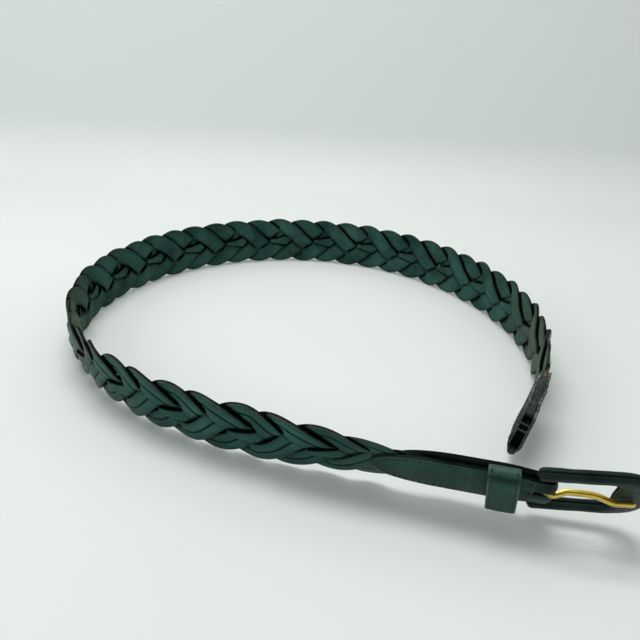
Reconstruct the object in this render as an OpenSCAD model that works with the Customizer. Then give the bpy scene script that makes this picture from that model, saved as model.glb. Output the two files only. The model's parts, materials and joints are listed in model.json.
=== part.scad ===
// Braided leather belt with a covered buckle, standing on edge in an open loop.
// The strap is described by s, its length from the buckle bar; w, the way across it; and n, outwards.

/* [Braid] */
// Width of one braided strand
strand_w = 10; // [9:0.25:11]
// Thickness of a strand along its middle
strand_t = 2; // [1.5:0.1:2.6]
// Thickness of a strand along its skived edges
strand_edge_t = 0.8; // [0.4:0.1:1.2]
// Free depth between two strands that cross
strand_gap = 0.45; // [0.35:0.05:0.8]
// Width of the straight centre strand where it is widest
centre_w = 7; // [5:0.25:8]
// Width of the centre strand where it is pinched between crossings
centre_waist = 2.5; // [1.5:0.25:3]
// Length of the strap from the buckle bar to its tip
strap_l = 1002; // [960:1:1010]

/* [Buckle tab] */
// Width of the folded tab
tab_w = 30; // [27:0.5:33]
// Width of the tab's neck, where it folds round the bar
neck_w = 24; // [22:0.5:26]
// Length over which the neck widens
neck_l = 20; // [12:1:28]
// Length of the tab's front layer from the bar to its point
tab_l = 78; // [72:1:86]
// Length by which the back layer is shorter than the front layer
tab_back_short = 10; // [6:1:14]
// Length of the rounded point of each layer
tab_end_l = 30; // [20:1:32]
// Thickness of the tab and tip leather
leather_t = 1.4; // [1:0.1:2]
// Leather between the prong's slot and the cross row of stitches beside the fold
fold_row_room = 0.5; // [0.4:0.1:1.5]
// Distance from the bar to the cross row of stitches beyond the keeper
window_row_at = 33; // [31:0.5:36]

/* [Keeper] */
// Width of the keeper along the strap
keeper_w = 13.6; // [11:0.2:16]
// Thickness of the keeper strip
keeper_t = 1.5; // [1:0.1:2]
// Distance from the bar to the middle of the keeper
keeper_at = 18.5; // [17:0.5:21]
// Free depth between the tab and the keeper's front at its top
keeper_top_room = 2.4; // [1:0.2:4]
// Free depth between the tab and the keeper's front at its bottom
keeper_bottom_room = 4.6; // [3:0.2:6]
// Room between the keeper and the edges of the tab
keeper_room = 0.6; // [0.4:0.1:1]
// Clearance of the keeper's back between the two layers of the tab
slide_gap = 0.6; // [0.55:0.05:0.8]

/* [Buckle] */
// Free length of the bar on each side of the neck
bar_room = 2.5; // [2:0.25:5]
// Length of the frame from the bar to its far end
buckle_l = 42.5; // [40:0.5:46]
// Width of the core in the upper and lower limbs
core_w = 3.4; // [2.4:0.1:4]
// Width of the core in the far limb, where the prong rests
end_core_w = 12.5; // [10:0.25:14]
// Wall of the core beside the bar
core_wall = 0.5; // [0.4:0.1:1]
// Length of the limbs behind the bar
limb_back = 6.5; // [5:0.25:6.75]
// Outer corner radius of the far end
end_r = 14; // [8:1:18]
// Inner corner radius of the far end
inner_r = 6; // [3:0.5:8]
// Thickness of the leather over the frame
cover_t = 1; // [0.8:0.1:1.6]
// Diameter of the bar
bar_d = 2.4; // [2.2:0.1:3]
// Running clearance around the bar
run_gap = 0.05; // [0.02:0.01:0.1]

/* [Prong] */
// Width of the prong
prong_w = 3.2; // [2.4:0.2:4]
// Thickness of the prong
prong_t = 2.4; // [1.8:0.1:2.8]
// Length of the prong's tip that lies over the far limb
prong_over = 8; // [5:0.25:9.5]
// Wall of the prong's eye around the bar
eye_wall = 1.5; // [1.1:0.1:1.8]
// Room around the prong in the slot of the fold
slot_room = 0.7; // [0.4:0.1:1.2]
// Gap between the resting prong and the far limb
rest_gap = 0.4; // [0.3:0.05:0.8]

/* [Tip] */
// Length of the two tip layers
tip_l = 56; // [45:1:70]
// Width of the tip
tip_w = 28; // [24:0.5:31]
// Length of the rounding at the end of the tip
tip_end_l = 12; // [8:1:16]

/* [Stitching] */
// Length of one stitch
stitch_l = 2.2; // [1.6:0.1:2.6]
// Width of the thread
stitch_w = 0.6; // [0.4:0.05:0.8]
// Height of the thread above the leather
stitch_h = 0.35; // [0.2:0.05:0.45]
// Distance from one stitch to the next
stitch_pitch = 3.2; // [2.9:0.1:4]
// Distance of the rows from the edge of the leather
stitch_in = 2.6; // [2:0.1:3.5]

/* [Pose] */
// Lean of the buckle end towards its outer face
buckle_lean = 32; // [24:1:34]
// Turn of the buckle about its bar, towards the inside of the loop
buckle_swing = 7; // [0:1:15]
// Rise of the tab towards the buckle, in degrees
buckle_rise = 2; // [0:0.1:4]
// Height at which the strap holds the buckle end above the ground
buckle_lift = 2.5; // [0:0.25:4]
// Lean of the strap's free end towards its outer face
tip_lean = 12; // [0:1:15]

/* [Hidden] */
$fn = 48;

leather_colour = [0.05, 0.12, 0.12];
lining_colour = [0.09, 0.15, 0.14];
thread_colour = [0.03, 0.07, 0.07];
steel_colour = [0.6, 0.6, 0.6];
brass_colour = [0.8, 0.62, 0.2];

// Plan position of the bar, with the origin under the middle of the standing belt
bar_at = [114.2, -165.36];
// Heading of the strap in plan, in degrees: along the tab, then by distance beyond the tab
tab_heading = 167;
bends = [
    [70, 160], [120, 150], [170, 134], [220, 116], [270, 95], [320, 75], [370, 58], [420, 39], [470, 21],
    [520, 2], [570, -18], [620, -38], [670, -55], [720, -70], [770, -85], [820, -101], [865, -116], [950, -116]
];
turns = concat(
    [[0, tab_heading], [tab_l, tab_heading]],
    [for (bend = bends) [tab_l + bend[0], bend[1]]]);

// Proportions of the braid, in strand widths
braid_w = 3.9 * strand_w;
pitch = 2.065 * strand_w;
sweep = (braid_w - strand_w) / 2;
layer_step = strand_t + strand_gap;
braid_half_t = layer_step + strand_t / 2;
// Place of the first crossing, in pitches
braid_start = -0.2;

// Layer changes of a strand: the phase of its cycle, in pitches, and the layers it steps outwards
even_steps = [[0, 2], [0.75, -1], [1.25, -1], [2, 2], [2.75, -2]];
odd_steps = [[0, 2], [0.75, -1], [1.25, -1], [2, 2], [3.25, -2]];
centre_steps = [[0.5, 2], [1.5, -2]];
strand_cycle = 4;
centre_cycle = 2;
step_half = 0.16;
ring_spacing = 0.35;

// The tab folds round the bar, and the prong's root swings back in its slot
bar_r = bar_d / 2;
fold_r = bar_r + run_gap;
fold_out = fold_r + leather_t;
eye_r = fold_r + eye_wall;
slot_w = prong_w + 2 * slot_room;
root_at = [2.6, eye_r - 0.2];
root_r = norm([root_at.x, root_at.y + prong_t / 2]);
slot_back = root_r + slot_room;
fold_row_at = slot_back + fold_row_room + stitch_w / 2;
tab_back_l = tab_l - tab_back_short;

// The covered frame
core_t = bar_d + 2 * core_wall;
buckle_t = core_t + 2 * cover_t;
limb_w = core_w + 2 * cover_t;
end_limb_w = end_core_w + 2 * cover_t;
opening_h = neck_w + 2 * bar_room;
buckle_h = opening_h + 2 * limb_w;
opening_l = buckle_l - end_limb_w;
near_r = 2;
press_gap = 0.01;

// Middle line of the prong in the frame's plane: along the frame, and outwards
prong_rest = buckle_t / 2 + rest_gap + prong_t / 2;
prong_line = [
    [0.4, fold_r + eye_wall / 2], root_at, [5.4, 1.8], [8, 0.9], [opening_l * 0.45, 0.8],
    [opening_l - 8, 1.5], [opening_l - 3.6, 3.1], [opening_l - 0.4, prong_rest],
    [opening_l + prong_over / 2, prong_rest], [opening_l + prong_over, prong_rest]
];

// The keeper goes round the front layer only
keeper_inner_h = tab_w / 2 + keeper_room;
keeper_outer_h = keeper_inner_h + keeper_t;
keeper_back_half = fold_r - slide_gap;
keeper_front_top = fold_out + keeper_top_room + keeper_t;
keeper_front_bottom = fold_out + keeper_bottom_room + keeper_t;
keeper_slant = atan((keeper_front_bottom - keeper_front_top) / (2 * keeper_outer_h));
keeper_corner_r = 1.6;
keeper_slit = 0.3;
staple_t = 0.25;
staple_w = 0.5;
staple_span = 5;
staple_gap = 0.02;

// Taper of the braid where it goes between the layers of the tab and the tip
taper_l = 34;
tuck_in = 2;
seat_gap = 0.1;
braid_from = window_row_at + 6;
braid_to = strap_l - 8;
tip_from = strap_l - tip_l;
braid_squeeze = (fold_r - seat_gap) / braid_half_t;
tab_narrow = (tab_w - 2 * tuck_in) / braid_w;
tip_narrow = (tip_w - 2 * tuck_in) / braid_w;

// Lengths beyond the tab over which the strap comes down to the ground and stands up straight
settle_l = 80;
ease_l = 60;
ease_lean = 18;
half_up_at = 172;
half_up_lean = 13;
upright_at = 252;

// Height of the strap's middle: the braid stands on its scallops, and the buckle end is held above the ground
braid_axis_h = braid_w / 2;
buckle_low = buckle_t / 2 + limb_back * sin(buckle_swing);
buckle_axis_h = buckle_lift + buckle_h / 2 * cos(buckle_lean) + buckle_low * sin(buckle_lean);
heights = [[0, buckle_axis_h], [tab_l, buckle_axis_h], [tab_l + settle_l, braid_axis_h]];
leans = [
    [0, buckle_lean], [tab_l, buckle_lean], [tab_l + ease_l, ease_lean],
    [tab_l + half_up_at, half_up_lean], [tab_l + upright_at, 0],
    [tip_from - taper_l, 0], [tip_from, tip_lean]
];

function smooth(v) = let (c = max(0, min(1, v))) c * c * (3 - 2 * c);
function unit(v) = v / norm(v);
function total(list, i = 0) = i < len(list) ? list[i] + total(list, i + 1) : 0;

// Points of the route in plan, one for each millimetre of strap
route = [
    for (s = 0, p = bar_at; s <= strap_l + 8;
         p = p + [cos(lookup(s + 0.5, turns)), sin(lookup(s + 0.5, turns))], s = s + 1) p
];

function plan_at(s) = let (i = floor(s), f = s - i) route[i] * (1 - f) + route[i + 1] * f;

// A point of the strap in space
function strap_point(s, w, n) =
    let (
        heading = lookup(s, turns),
        lean = lookup(s, leans),
        middle = plan_at(s),
        up = w + max(0, tab_l - s) * tan(buckle_rise),
        reach = up * sin(lean) + n * cos(lean)
    )
    [
        middle.x - sin(heading) * reach,
        middle.y + cos(heading) * reach,
        lookup(s, heights) + up * cos(lean) - n * sin(lean)
    ];

// How far the braid is narrowed and flattened at each end
function narrow_at(s) =
    s < strap_l / 2
    ? tab_narrow + (1 - tab_narrow) * smooth((s - tab_l + tab_end_l) / taper_l)
    : tip_narrow + (1 - tip_narrow) * smooth((tip_from - s) / taper_l);
function squeeze_at(s) =
    let (out = s < strap_l / 2 ? s - tab_l : tip_from - s)
    braid_squeeze + (1 - braid_squeeze) * smooth(out / taper_l);

// Depth of a strand at a phase of its cycle, in layers
function layer_at(phase, steps, cycle) =
    -1 + total([
        for (step = steps)
            step[1] * (smooth((phase - step[0] + step_half) / (2 * step_half))
                + smooth((phase - step[0] - cycle + step_half) / (2 * step_half)))
    ]);

// Phases at which a strand needs a ring: around each step, and between steps
function ring_phases(steps, cycle) = [
    for (i = [0 : len(steps) - 1])
        let (
            at = steps[i][0],
            next = i + 1 < len(steps) ? steps[i + 1][0] : steps[0][0] + cycle,
            from = at + step_half,
            to = next - step_half,
            extra = floor((to - from) / ring_spacing)
        )
        each [at - step_half, at, from, for (k = [1 : 1 : extra]) from + (to - from) * k / (extra + 1)]
];

// Place and phase of every ring of a strand; the phase falls as s grows
function braid_rings(steps, cycle, offset) =
    let (phases = ring_phases(steps, cycle))
    [
        for (turn = [0 : ceil(strap_l / pitch / cycle) + 1], i = [len(phases) - 1 : -1 : 0])
            let (s = pitch * (turn * cycle - phases[i] + offset))
            if (s >= braid_from && s <= braid_to) [s, phases[i]]
    ];

// Six points of a strip's section: thin edges and a thick middle
function strip_section(s, w, n, half_w, slope) =
    let (
        run = sqrt(1 + slope * slope),
        half_t = strand_t / 2,
        half_edge = strand_edge_t / 2,
        spots = [
            [-half_w, -half_edge], [0, -half_t], [half_w, -half_edge],
            [half_w, half_edge], [0, half_t], [-half_w, half_edge]
        ]
    )
    [
        for (spot = spots)
            strap_point(
                s - spot[0] * slope / run * narrow_at(s),
                (w + spot[0] / run) * narrow_at(s),
                (n + spot[1]) * squeeze_at(s))
    ];

// A closed solid from a row of rings that all have the same number of points
module skin(rings) {
    count = len(rings[0]);
    last = len(rings) - 1;
    sides = [
        for (i = [0 : last - 1], k = [0 : count - 1])
            let (
                a = i * count + k,
                b = i * count + (k + 1) % count
            )
            each [[a, b, b + count], [a, b + count, a + count]]
    ];
    near_cap = [for (k = [1 : count - 2]) [0, k + 1, k]];
    far_cap = [for (k = [1 : count - 2]) [for (v = [0, k, k + 1]) last * count + v]];
    polyhedron(
        points = [for (ring = rings) each ring],
        faces = concat(sides, near_cap, far_cap),
        convexity = 10);
}

// A strand that crosses from edge to edge
module braided_strand(index) {
    steps = index % 2 == 0 ? even_steps : odd_steps;
    skin([
        for (ring = braid_rings(steps, strand_cycle, braid_start - index))
            strip_section(
                ring[0],
                sweep * cos(90 * ring[1]),
                layer_step * layer_at(ring[1], steps, strand_cycle),
                strand_w / 2,
                sweep * PI / 2 * sin(90 * ring[1]) / pitch)
    ]);
}

// Half width of the centre strand at a phase of its cycle
function centre_half_at(phase) =
    (centre_w + centre_waist) / 4 - (centre_w - centre_waist) / 4 * cos(180 * (phase - 0.5));

// A box that follows the strap, given by its ends, its sides and its two faces
module strap_box(s0, s1, w0, w1, n0, n1) {
    skin([
        for (s = [s0, s1])
            [for (c = [[w0, n0], [w1, n0], [w1, n1], [w0, n1]]) strap_point(s, c[0], c[1])]
    ]);
}

// One corner of an outline, rounded
function corner(a, b, c, r) =
    let (
        u = unit(a - b),
        v = unit(c - b),
        half = acos(u * v) / 2,
        middle = b + unit(u + v) * r / sin(half),
        p = b + u * r / tan(half) - middle,
        q = b + v * r / tan(half) - middle,
        from = atan2(p.y, p.x),
        turn = (atan2(q.y, q.x) - from + 540) % 360 - 180,
        parts = 8
    )
    [for (i = [0 : parts]) middle + r * [cos(from + turn * i / parts), sin(from + turn * i / parts)]];

// An outline with each corner rounded by its own radius
function rounded(points, radii) =
    let (count = len(points))
    [
        for (i = [0 : count - 1])
            each radii[i] > 0
                ? corner(points[(i + count - 1) % count], points[i], points[(i + 1) % count], radii[i])
                : [points[i]]
    ];

// Lengths along a line of points, and the place at one length
function line_lengths(p) = [
    for (i = 0, d = 0; i < len(p); d = d + (i + 1 < len(p) ? norm(p[i + 1] - p[i]) : 0), i = i + 1) d
];
function line_at(p, lengths, d) =
    [for (axis = [0, 1]) lookup(d, [for (i = [0 : len(p) - 1]) [lengths[i], p[i][axis]]])];

// A smooth line through a few points
function smooth_line(p, parts = 4) = [
    for (i = [0 : len(p) - 2], k = [0 : i == len(p) - 2 ? parts : parts - 1])
        let (
            a = p[max(0, i - 1)],
            b = p[i],
            c = p[i + 1],
            d = p[min(len(p) - 1, i + 2)],
            f = k / parts
        )
        b + (c - a) * f / 2 + (a * 2 - b * 5 + c * 4 - d) * f * f / 2 + (b * 3 - a - c * 3 + d) * f * f * f / 2
];

// Places the buckle end: x towards the buckle, y to the inside of the loop, z across the strap
module on_tab() {
    translate(strap_point(0, 0, 0))
        rotate([0, 0, tab_heading - 180])
            rotate([buckle_lean, 0, 0])
                rotate([0, -buckle_rise, 0])
                    children();
}

module on_buckle() {
    on_tab()
        rotate([0, 0, buckle_swing])
            children();
}

// A flat piece drawn in x and z, from one depth to another
module upright(y0, y1) {
    translate([0, y1, 0])
        rotate([90, 0, 0])
            linear_extrude(height = y1 - y0)
                children();
}

// Half width of the tab at a distance from the bar, before its point
function tab_half_at(d) = (neck_w + (tab_w - neck_w) * smooth(d / neck_l)) / 2;

// Upper edge of a tab layer, from a place near the bar to the point
function tab_edge(length, inset, from) =
    let (half = tab_w / 2 - inset, end_l = tab_end_l - inset, parts = 12, step = neck_l / 5)
    concat(
        [[-from, tab_half_at(from) - inset]],
        [for (d = [from + step : step : neck_l]) [-d, tab_half_at(d) - inset]],
        [
            for (i = [0 : parts])
                let (f = i / parts)
                [-(length - tab_end_l) - end_l * sin(90 * f), half * pow(cos(90 * f), 0.8)]
        ]);

module tab_layer_outline(length) {
    upper = tab_edge(length, 0, 0);
    polygon(concat(upper, [for (i = [len(upper) - 2 : -1 : 0]) [upper[i].x, -upper[i].y]]));
}

module tab_stitch(x, z, angle) {
    for (side = [-1, 1])
        translate([x, side * (fold_out + stitch_h / 2), z])
            rotate([0, -angle, 0])
                cube([stitch_l, stitch_h, stitch_w], center = true);
}

module cross_row(at) {
    count = floor(2 * (tab_half_at(at) - stitch_in) / stitch_pitch);
    for (i = [0 : count])
        tab_stitch(-at, (i - count / 2) * stitch_pitch, 90);
}

// Outline of the covered frame, open behind the bar, brought in by an inset
module frame_outline(inset) {
    outer_h = buckle_h / 2 - inset;
    inner_h = opening_h / 2 + inset;
    back = -limb_back + inset;
    difference() {
        polygon(rounded(
            [[back, -outer_h], [buckle_l - inset, -outer_h], [buckle_l - inset, outer_h], [back, outer_h]],
            [near_r - inset, end_r - inset, end_r - inset, near_r - inset]));
        polygon(rounded(
            [
                [-limb_back - 1, -inner_h], [opening_l + inset, -inner_h],
                [opening_l + inset, inner_h], [-limb_back - 1, inner_h]
            ],
            [0, inner_r + inset, inner_r + inset, 0]));
    }
}

module core_shape() {
    upright(-core_t / 2, core_t / 2)
        frame_outline(cover_t);
}

module cover_shape(y0, y1) {
    difference() {
        upright(y0, y1)
            frame_outline(0);
        core_shape();
        cylinder(r = bar_r + run_gap, h = buckle_h - 2 * cover_t, center = true);
    }
}

// Section of the keeper, in y and z
module keeper_section() {
    wall = keeper_t / cos(keeper_slant);
    lean_in = (keeper_front_bottom - keeper_front_top) / (2 * keeper_outer_h) * keeper_t;
    difference() {
        polygon(rounded(
            [
                [keeper_back_half, -keeper_outer_h], [keeper_back_half, keeper_outer_h],
                [-keeper_front_top, keeper_outer_h], [-keeper_front_bottom, -keeper_outer_h]
            ],
            [0.5, 0.5, keeper_corner_r, keeper_corner_r]));
        polygon([
            [-keeper_back_half, -keeper_inner_h], [-keeper_back_half, keeper_inner_h],
            [-keeper_front_top + wall - lean_in, keeper_inner_h],
            [-keeper_front_bottom + wall + lean_in, -keeper_inner_h]
        ]);
    }
}

module staple_shape(grow) {
    leg = 2 * keeper_back_half;
    translate([-keeper_at, keeper_back_half + staple_t / 2, 0])
        cube([staple_w + grow, staple_t, staple_span + grow], center = true);
    for (side = [-1, 1])
        translate([-keeper_at, 0, side * (staple_span - staple_w) / 2])
            cube([staple_w + grow, leg, staple_w + grow], center = true);
}

// Half width of the tip, rounded at its end
function tip_half_at(s) =
    let (f = max(0, (s - strap_l + tip_end_l) / tip_end_l))
    tip_w / 2 * (0.45 + 0.55 * sqrt(max(0, 1 - f * f)));

// How far each tip layer comes in to meet the other beyond the end of the braid
function tip_close_at(s) = (fold_r - seat_gap / 2) * smooth((s - braid_to) / (strap_l - braid_to));

module tip_layer(side) {
    stations = concat([for (i = [0 : 4]) tip_from + (tip_l - tip_end_l) * i / 4],
        [for (a = [18 : 18 : 90]) strap_l - tip_end_l + tip_end_l * sin(a)]);
    skin([
        for (s = stations)
            let (
                h = tip_half_at(s),
                inner = side * (fold_r - tip_close_at(s)),
                outer = inner + side * leather_t,
                n0 = min(inner, outer),
                n1 = max(inner, outer)
            )
            [for (c = [[-h, n0], [h, n0], [h, n1], [-h, n1]]) strap_point(s, c[0], c[1])]
    ]);
}

module strand_1() {
    color(leather_colour)
        braided_strand(0);
}

module strand_2() {
    color(leather_colour)
        braided_strand(1);
}

module strand_3() {
    color(leather_colour)
        braided_strand(2);
}

module strand_4() {
    color(leather_colour)
        braided_strand(3);
}

module centre_strand() {
    color(leather_colour)
        skin([
            for (ring = braid_rings(centre_steps, centre_cycle, braid_start))
                strip_section(
                    ring[0],
                    0,
                    layer_step * layer_at(ring[1], centre_steps, centre_cycle),
                    centre_half_at(ring[1]),
                    0)
        ]);
}

module buckle_tab() {
    color(leather_colour)
        on_tab()
            difference() {
                union() {
                    upright(-fold_out, -fold_r)
                        tab_layer_outline(tab_l);
                    upright(fold_r, fold_out)
                        tab_layer_outline(tab_back_l);
                    difference() {
                        cylinder(r = fold_out, h = neck_w, center = true);
                        cylinder(r = fold_r, h = neck_w + 1, center = true);
                        translate([-fold_out, 0, 0])
                            cube([2 * fold_out, 3 * fold_out, neck_w + 1], center = true);
                    }
                }
                translate([-slot_back, -2 * fold_out, -slot_w / 2])
                    cube([slot_back + 2 * fold_out, 4 * fold_out, slot_w]);
            }
}

module tab_edge_stitching() {
    row = tab_edge(tab_back_l, stitch_in, window_row_at + stitch_pitch);
    lengths = line_lengths(row);
    row_l = lengths[len(lengths) - 1];
    color(thread_colour)
        on_tab()
            for (d = [stitch_pitch : stitch_pitch : row_l - stitch_pitch / 2], side = [-1, 1])
                let (p = line_at(row, lengths, d), step = line_at(row, lengths, d + 0.4) - p)
                    tab_stitch(p.x, side * p.y, side * atan2(step.y, step.x));
}

module fold_cross_stitching() {
    color(thread_colour)
        on_tab()
            cross_row(fold_row_at);
}

module window_cross_stitching() {
    color(thread_colour)
        on_tab()
            cross_row(window_row_at);
}

module keeper_loop() {
    color(leather_colour)
        on_tab()
            difference() {
                translate([-keeper_at - keeper_w / 2, 0, 0])
                    rotate([90, 0, 90])
                        linear_extrude(height = keeper_w)
                            keeper_section();
                translate([-keeper_at, 0, 0])
                    cube([keeper_w + 1, 2 * keeper_back_half + 0.02, keeper_slit], center = true);
                staple_shape(2 * staple_gap);
            }
}

module keeper_stitching() {
    row_h = 2 * keeper_outer_h - 4 * keeper_corner_r;
    count = floor(row_h / stitch_pitch);
    color(thread_colour)
        on_tab()
            translate([-keeper_at, -(keeper_front_top + keeper_front_bottom) / 2, 0])
                rotate([-keeper_slant, 0, 0])
                    for (side = [-1, 1], i = [0 : count])
                        translate([
                            side * (keeper_w / 2 - stitch_in / 2),
                            -stitch_h / 2,
                            (i - count / 2) * stitch_pitch
                        ])
                            cube([stitch_w, stitch_h, stitch_l], center = true);
}

module keeper_staple() {
    color(steel_colour)
        on_tab()
            staple_shape(0);
}

module buckle_frame() {
    color(steel_colour)
        on_buckle()
            difference() {
                core_shape();
                cylinder(r = bar_r + press_gap, h = buckle_h, center = true);
            }
}

module buckle_bar() {
    color(steel_colour)
        on_buckle()
            cylinder(r = bar_r, h = buckle_h - 2 * cover_t - 2 * press_gap, center = true);
}

module buckle_cover_front() {
    color(leather_colour)
        on_buckle()
            cover_shape(-buckle_t / 2, 0);
}

module buckle_cover_back() {
    color(lining_colour)
        on_buckle()
            cover_shape(0, buckle_t / 2);
}

module prong() {
    line = [for (p = smooth_line(prong_line)) [p.x, -p.y]];
    last = len(line) - 1;
    sides = [
        for (side = [1, -1])
            [
                for (i = [0 : last])
                    let (t = unit(line[min(last, i + 1)] - line[max(0, i - 1)]))
                    line[i] + [-t.y, t.x] * side * prong_t / 2
            ]
    ];
    outline = concat(sides[0], [for (i = [last : -1 : 0]) sides[1][i]]);
    color(brass_colour)
        on_buckle()
            difference() {
                union() {
                    cylinder(r = eye_r, h = prong_w, center = true);
                    linear_extrude(height = prong_w, center = true)
                        polygon(outline);
                }
                cylinder(r = fold_r, h = prong_w + 1, center = true);
            }
}

module tip_front() {
    color(leather_colour)
        tip_layer(1);
}

module tip_back() {
    color(lining_colour)
        tip_layer(-1);
}

module tip_stitching() {
    row_from = tip_from + stitch_in;
    count = floor((tip_l - stitch_in - tip_end_l) / stitch_pitch);
    edge = tip_w / 2 - stitch_in;
    color(thread_colour)
        for (i = [0 : count - 1], side = [-1, 1], face = [-1, 1])
            strap_box(
                row_from + i * stitch_pitch,
                row_from + i * stitch_pitch + stitch_l,
                side * edge - stitch_w / 2,
                side * edge + stitch_w / 2,
                face > 0 ? fold_out : -fold_out - stitch_h,
                face > 0 ? fold_out + stitch_h : -fold_out);
}

strand_1();
strand_2();
strand_3();
strand_4();
centre_strand();
buckle_tab();
tab_edge_stitching();
fold_cross_stitching();
window_cross_stitching();
keeper_loop();
keeper_stitching();
keeper_staple();
buckle_frame();
buckle_bar();
buckle_cover_front();
buckle_cover_back();
prong();
tip_front();
tip_back();
tip_stitching();
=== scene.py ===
import json
import math

import bpy
import numpy as np
from mathutils import Matrix

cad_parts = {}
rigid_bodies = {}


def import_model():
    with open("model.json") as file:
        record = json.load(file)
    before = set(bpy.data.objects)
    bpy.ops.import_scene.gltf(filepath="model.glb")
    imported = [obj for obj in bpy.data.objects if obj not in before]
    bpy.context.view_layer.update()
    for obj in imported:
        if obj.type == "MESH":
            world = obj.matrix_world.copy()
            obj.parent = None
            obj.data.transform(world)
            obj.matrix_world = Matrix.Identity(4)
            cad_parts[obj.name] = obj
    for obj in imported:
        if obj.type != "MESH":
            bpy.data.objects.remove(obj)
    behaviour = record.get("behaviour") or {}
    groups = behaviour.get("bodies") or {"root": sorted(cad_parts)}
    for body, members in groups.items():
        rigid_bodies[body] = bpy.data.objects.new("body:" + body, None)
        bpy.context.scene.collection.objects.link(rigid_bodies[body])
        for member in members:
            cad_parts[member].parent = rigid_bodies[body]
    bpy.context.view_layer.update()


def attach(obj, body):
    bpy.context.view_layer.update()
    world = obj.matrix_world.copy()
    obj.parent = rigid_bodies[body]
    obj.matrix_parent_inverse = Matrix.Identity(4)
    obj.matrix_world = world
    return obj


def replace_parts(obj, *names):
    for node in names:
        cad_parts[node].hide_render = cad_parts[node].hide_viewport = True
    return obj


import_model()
scene = bpy.context.scene

MM = 0.001

# Sizes of the belt in millimetres, as in the solids
BAR = (114.2, -165.36)
TAB_HEADING = 167.0
TAB_L = 78.0
TAB_BACK_L = 68.0
TAB_END_L = 30.0
TAB_W = 30.0
NECK_W = 24.0
NECK_L = 20.0
STRAP_L = 1002.0
LEATHER_T = 1.4
FOLD_R = 1.25
FOLD_OUT = FOLD_R + LEATHER_T
BUCKLE_LEAN = 32.0
BUCKLE_SWING = 7.0
BUCKLE_RISE = 2.0
BUCKLE_LIFT = 2.5
TIP_LEAN = 12.0
BUCKLE_L = 42.5
LIMB_W = 5.4
END_LIMB_W = 14.5
OPENING_H = 29.0
BUCKLE_H = OPENING_H + 2 * LIMB_W
BUCKLE_T = 5.4
LIMB_BACK = 6.5
OPENING_L = BUCKLE_L - END_LIMB_W
END_R = 14.0
INNER_R = 6.0
PRONG_W = 3.2
PRONG_T = 2.4
EYE_R = FOLD_R + 1.5
PRONG_OVER = 8.0
SLOT_W = PRONG_W + 1.4
ROOT = (2.6, EYE_R - 0.2)
SLOT_BACK = math.hypot(ROOT[0], ROOT[1] + PRONG_T / 2) + 0.7
KEEPER_AT = 18.5
KEEPER_W = 13.6
KEEPER_T = 1.5
TIP_L = 56.0
TIP_W = 28.0
TIP_END_L = 12.0
STITCH_PITCH = 3.2
STITCH_IN = 2.6
STRAND_W = 10.0
BRAID_W = 3.9 * STRAND_W
PITCH = 2.065 * STRAND_W
BRAID_START = -0.2
WINDOW_ROW = 33.0
FOLD_ROW = SLOT_BACK + 0.8

# Distance from the tab and heading in degrees, read from the line of the belt on the table
BENDS = [
    (70, 160), (120, 150), (170, 134), (220, 116), (270, 95), (320, 75),
    (370, 58), (420, 39), (470, 21), (520, 2), (570, -18), (620, -38),
    (670, -55), (720, -70), (770, -85), (820, -101), (865, -116), (950, -116),
]
TURN_S = np.array([0.0, TAB_L] + [TAB_L + s for s, _ in BENDS])
TURN_H = np.array([TAB_HEADING, TAB_HEADING] + [h for _, h in BENDS], float)
LEAN = math.radians(BUCKLE_LEAN)
LIMB_OUT = BUCKLE_T / 2 + LIMB_BACK * math.sin(math.radians(BUCKLE_SWING))
AXIS_H = BUCKLE_LIFT + BUCKLE_H / 2 * math.cos(LEAN) + LIMB_OUT * math.sin(LEAN)

TIP_FROM = STRAP_L - TIP_L
TAPER_L = 34.0
SETTLE_L = 80.0
EASE_L = 60.0
EASE_LEAN = 18.0
HALF_UP_AT = 172.0
HALF_UP_LEAN = 13.0
UPRIGHT_AT = 252.0
LEAN_S = [0, TAB_L, TAB_L + EASE_L, TAB_L + HALF_UP_AT, TAB_L + UPRIGHT_AT, TIP_FROM - TAPER_L, TIP_FROM]
LEAN_DEG = [BUCKLE_LEAN, BUCKLE_LEAN, EASE_LEAN, HALF_UP_LEAN, 0, 0, TIP_LEAN]

# Plan route in steps of one millimetre, a little past the tip
ROUTE_L = int(STRAP_L) + 14
ROUTE_HEAD = np.radians(np.interp(np.arange(ROUTE_L) + 0.5, TURN_S, TURN_H))
ROUTE_X = np.concatenate([[BAR[0]], BAR[0] + np.cumsum(np.cos(ROUTE_HEAD))])
ROUTE_Y = np.concatenate([[BAR[1]], BAR[1] + np.cumsum(np.sin(ROUTE_HEAD))])
ROUTE_S = np.arange(len(ROUTE_X))


def strap(s, w, n):
    """Points of the strap in metres: s along it, w across it and n outwards."""
    s, w, n = np.broadcast_arrays(*(np.asarray(a, float) for a in (s, w, n)))
    head = np.radians(np.interp(s, TURN_S, TURN_H))
    lean = np.radians(np.interp(s, LEAN_S, LEAN_DEG))
    high = np.interp(s, [0, TAB_L, TAB_L + SETTLE_L], [AXIS_H, AXIS_H, BRAID_W / 2])
    up = w + np.maximum(0, TAB_L - s) * math.tan(math.radians(BUCKLE_RISE))
    reach = up * np.sin(lean) + n * np.cos(lean)
    x = np.interp(s, ROUTE_S, ROUTE_X) - np.sin(head) * reach
    y = np.interp(s, ROUTE_S, ROUTE_Y) + np.cos(head) * reach
    z = high + up * np.cos(lean) - n * np.sin(lean)
    return np.stack([x, y, z], -1) * MM


def turned(p, i, j, degrees):
    """Points turned from axis i towards axis j."""
    a = math.radians(degrees)
    out = p.copy()
    out[..., i] = p[..., i] * math.cos(a) - p[..., j] * math.sin(a)
    out[..., j] = p[..., i] * math.sin(a) + p[..., j] * math.cos(a)
    return out


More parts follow.
